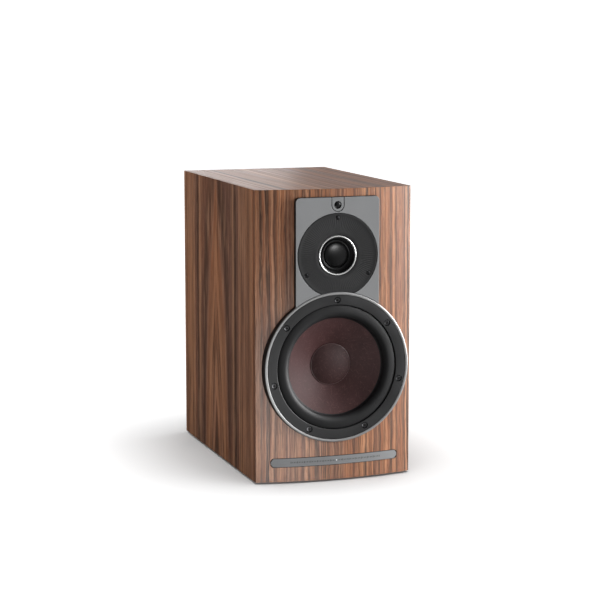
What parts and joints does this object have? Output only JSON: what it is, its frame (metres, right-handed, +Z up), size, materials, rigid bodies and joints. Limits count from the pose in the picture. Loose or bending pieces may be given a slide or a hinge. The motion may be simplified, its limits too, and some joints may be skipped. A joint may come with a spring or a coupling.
{
  "type": "bookshelf speaker",
  "caption": "Active two-way bookshelf speaker: walnut-veneered cabinet with a bowed front, wood-fibre woofer, dome tweeter, display bar, and rear port and amplifier panel.",
  "frame": {"origin": "centre of the footprint, on the surface the speaker stands on", "axes": "+Z up, -Y towards the listener, +X to the right seen from the front"},
  "size_m": [0.195, 0.335, 0.35],
  "materials": {
    "walnut_veneer": "open-grain walnut veneer, satin lacquer",
    "fibreboard": "raw medium density fibreboard",
    "grey_trim": "silver-grey satin paint",
    "bright_aluminium": "turned and polished edge",
    "black_plastic": "satin moulded black",
    "black_coated_metal": "fine black powder coat",
    "black_rubber": "matt butyl rubber",
    "wood_fibre": "dark maroon paper pulp with fine wood fibres",
    "coated_textile": "soft black coated dome fabric",
    "spider_cloth": "impregnated cotton weave",
    "wool_felt": "loose grey felt",
    "dark_lens": "glossy infra-red lens",
    "steel": "zinc plated",
    "black_steel": "blackened socket screws",
    "copper": "enamelled copper winding",
    "ferrite": "unpainted ferrite",
    "gold_plate": "thin gold plating",
    "circuit_board": "green solder mask",
    "cable_sheath": "soft insulated wire"
  },
  "bodies": {
    "cabinet": {"amp_board": "circuit_board", "amp_panel": "black_coated_metal", "bottom_panel": "fibreboard", "damping_pad": "wool_felt", "eye_lens": "dark_lens", "eye_tab": "grey_trim", "foot_front_left": "black_rubber", "foot_front_right": "black_rubber", "foot_rear_left": "black_rubber", "foot_rear_right": "black_rubber", "front_baffle": "walnut_veneer", "heat_sink": "black_coated_metal", "level_bar": "grey_trim", "port_tube": "black_plastic", "power_inlet": "black_plastic", "rca_socket_left": "gold_plate", "rca_socket_right": "gold_plate", "rear_panel": "walnut_veneer", "rocker_housing": "black_plastic", "side_left": "fibreboard", "side_right": "fibreboard", "top_panel": "fibreboard", "tweeter_cable": "cable_sheath", "tweeter_faceplate": "black_plastic", "tweeter_motor": "black_coated_metal", "tweeter_plate": "grey_trim", "tweeter_ring": "bright_aluminium", "tweeter_screw_1": "black_steel", "tweeter_screw_2": "black_steel", "tweeter_screw_3": "black_steel", "tweeter_surround": "coated_textile", "veneer_left": "walnut_veneer", "veneer_right": "walnut_veneer", "veneer_top": "walnut_veneer", "window_brace": "fibreboard", "woofer_basket": "black_coated_metal", "woofer_bezel": "bright_aluminium", "woofer_cable": "cable_sheath", "woofer_face_ring": "black_plastic", "woofer_magnet": "ferrite", "woofer_screw_1": "black_steel", "woofer_screw_2": "black_steel", "woofer_screw_3": "black_steel", "woofer_screw_4": "black_steel", "woofer_screw_5": "black_steel", "woofer_screw_6": "black_steel", "woofer_screw_7": "black_steel", "woofer_spider": "spider_cloth", "woofer_surround": "black_rubber", "woofer_top_plate": "steel", "woofer_yoke": "steel"},
    "woofer_moving_parts": {"woofer_cone": "wood_fibre", "woofer_dust_cap": "wood_fibre", "woofer_voice_coil": "copper"},
    "tweeter_moving_parts": {"tweeter_dome": "coated_textile", "tweeter_voice_coil": "copper"},
    "gain_control": {"gain_knob": "black_coated_metal"},
    "power_switch": {"power_rocker": "black_plastic"},
    "pairing_switch": {"pair_button": "black_plastic"},
    "input_switch": {"input_slider": "black_plastic"}
  },
  "joints": [
    {"name": "woofer_stroke", "type": "slide", "parent": "cabinet", "child": "woofer_moving_parts", "axis": [0, -1, 0], "range_m": [-0.005, 0.005], "stiffness_N_per_m": 900, "deforming": ["woofer_surround", "woofer_spider"]},
    {"name": "tweeter_stroke", "type": "slide", "parent": "cabinet", "child": "tweeter_moving_parts", "axis": [0, -1, 0], "range_m": [-0.0004, 0.0004], "stiffness_N_per_m": 1500, "deforming": ["tweeter_surround"]},
    {"name": "gain_knob_turn", "type": "hinge", "parent": "cabinet", "child": "gain_control", "pos_m": [0.04, 0.1563, 0.122], "axis": [0, 1, 0], "range_deg": [-140, 140]},
    {"name": "power_rocker_tilt", "type": "hinge", "parent": "cabinet", "child": "power_switch", "pos_m": [-0.014, 0.1533, 0.064], "axis": [-1, 0, 0], "range_deg": [0, 16]},
    {"name": "pair_button_press", "type": "slide", "parent": "cabinet", "child": "pairing_switch", "axis": [0, -1, 0], "range_m": [0, 0.0015], "stiffness_N_per_m": 600},
    {"name": "input_slider_slide", "type": "slide", "parent": "cabinet", "child": "input_switch", "axis": [1, 0, 0], "range_m": [-0.003, 0.003]}
  ]
}
